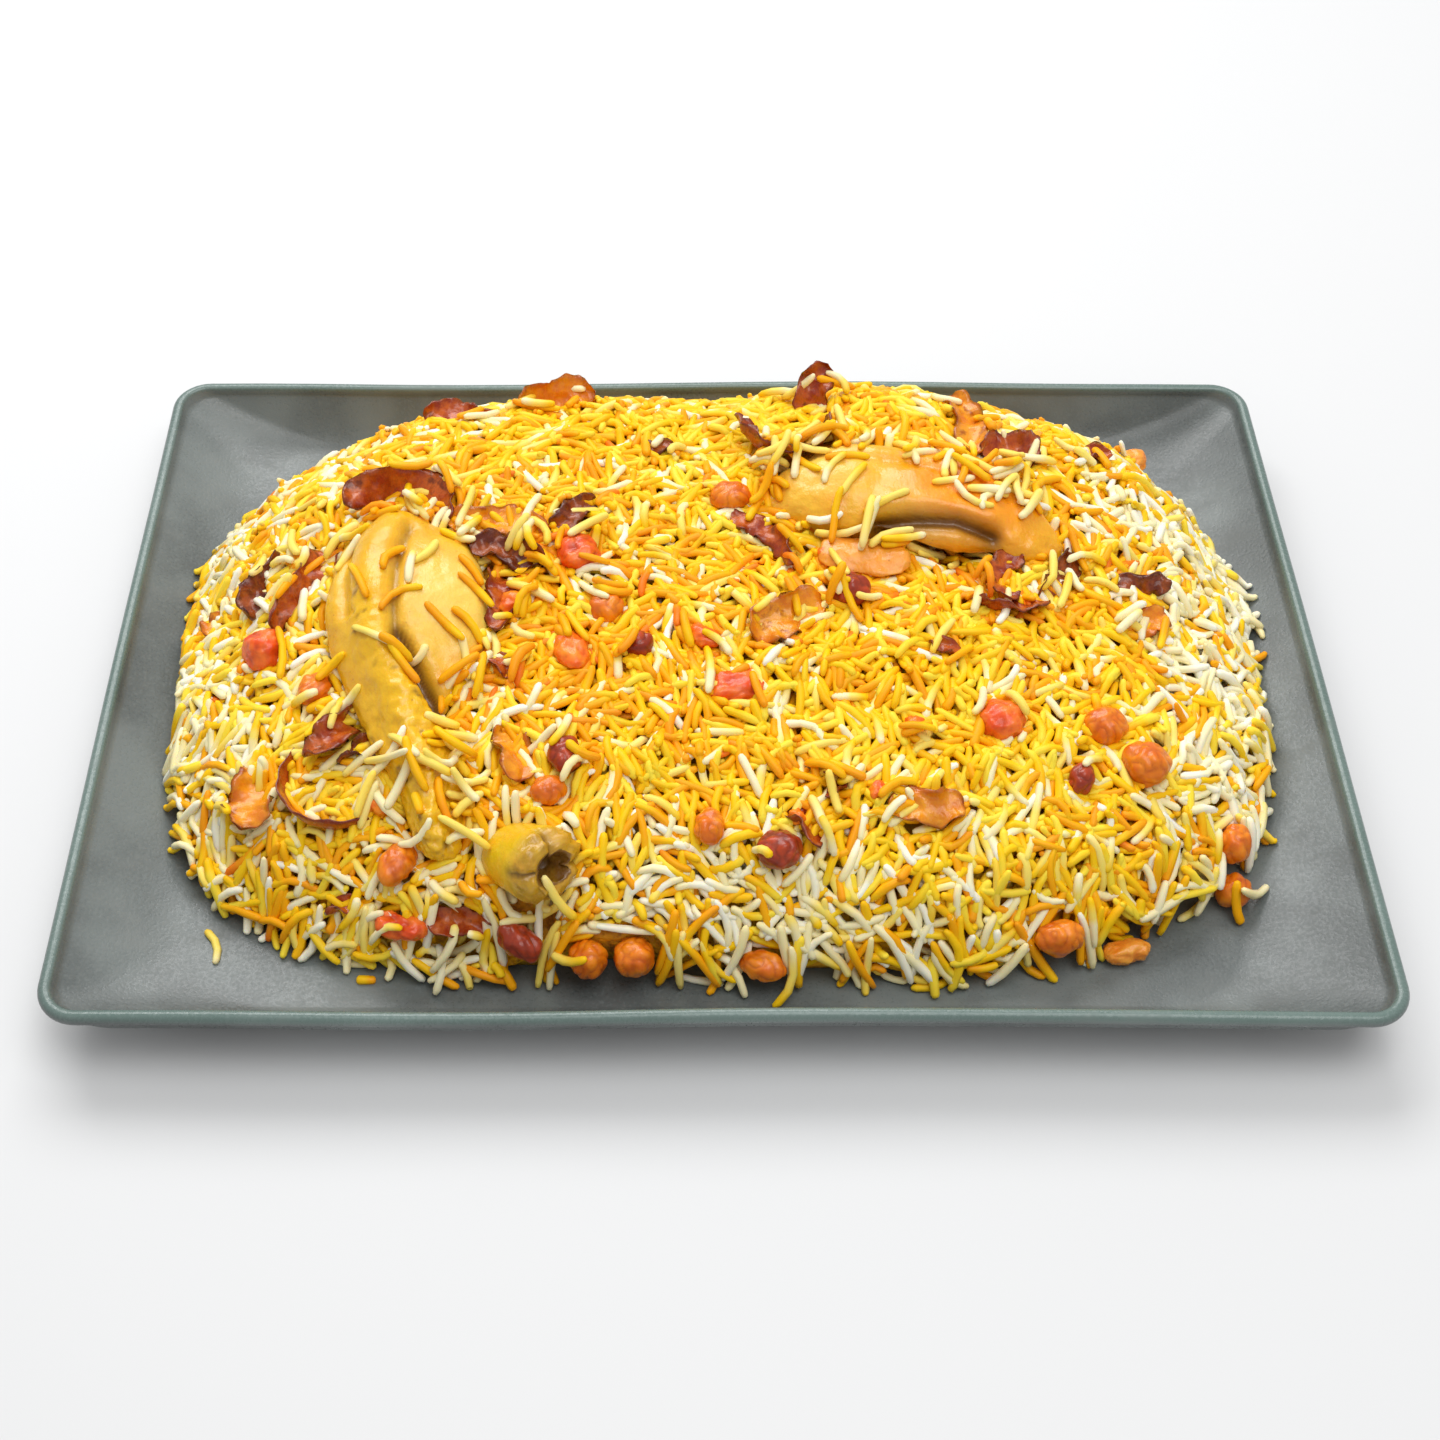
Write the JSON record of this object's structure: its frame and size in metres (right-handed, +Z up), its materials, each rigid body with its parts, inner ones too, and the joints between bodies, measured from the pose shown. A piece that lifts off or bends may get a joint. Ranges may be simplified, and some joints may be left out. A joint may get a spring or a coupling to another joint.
{
  "type": "platter of chicken biryani",
  "caption": "Chicken biryani with saffron rice, fried onion, raisins and pieces of chicken, heaped on a rectangular dark grey serving plate.",
  "frame": {"origin": "middle of the plate, on the surface that its foot stands on", "axes": "+X along the plate's long side, +Y from the front of the plate to its back, +Z up"},
  "size_m": [0.3398, 0.2398, 0.0639],
  "materials": {
    "plate_glaze": "satin glaze with fine speckle",
    "rice": "moist cooked rice, white, pale yellow, saffron yellow and orange",
    "chicken": "moist cooked meat, stained with turmeric",
    "fried_onion": "glossy, browned unevenly from amber to dark brown",
    "raisin": "glossy, plumped and lightly wrinkled",
    "tomato": "wet and soft",
    "carrot": "moist"
  },
  "bodies": {
    "root": {"plate": "plate_glaze", "rice_heap": "rice", "chicken_leg": "chicken", "drumstick_end": "chicken", "chicken_thigh": "chicken", "chicken_skin_01": "chicken", "carrot_06": "carrot", "carrot_07": "carrot", "onion_01": "fried_onion", "onion_02": "fried_onion", "onion_03": "fried_onion", "onion_04": "fried_onion", "onion_05": "fried_onion", "onion_06": "fried_onion", "onion_07": "fried_onion", "onion_08": "fried_onion", "onion_09": "fried_onion", "onion_10": "fried_onion", "onion_11": "fried_onion", "onion_12": "fried_onion", "onion_13": "fried_onion", "onion_14": "fried_onion", "onion_15": "fried_onion", "onion_16": "fried_onion", "onion_17": "fried_onion", "onion_18": "fried_onion", "onion_19": "fried_onion", "onion_20": "fried_onion", "onion_21": "fried_onion", "onion_22": "fried_onion", "onion_23": "fried_onion", "onion_24": "fried_onion", "onion_25": "fried_onion", "onion_26": "fried_onion", "onion_27": "fried_onion", "raisin_01": "raisin", "raisin_02": "raisin", "raisin_03": "raisin", "raisin_04": "raisin", "raisin_05": "raisin", "raisin_06": "raisin", "raisin_07": "raisin", "raisin_08": "raisin", "raisin_09": "raisin", "raisin_10": "raisin", "raisin_11": "raisin", "raisin_12": "raisin", "raisin_13": "raisin", "raisin_14": "raisin", "raisin_15": "raisin", "raisin_16": "raisin", "raisin_17": "raisin", "raisin_18": "raisin", "raisin_19": "raisin", "raisin_20": "raisin", "tomato_01": "tomato", "tomato_02": "tomato", "tomato_03": "tomato", "tomato_04": "tomato", "tomato_05": "tomato"}
  },
  "joints": []
}
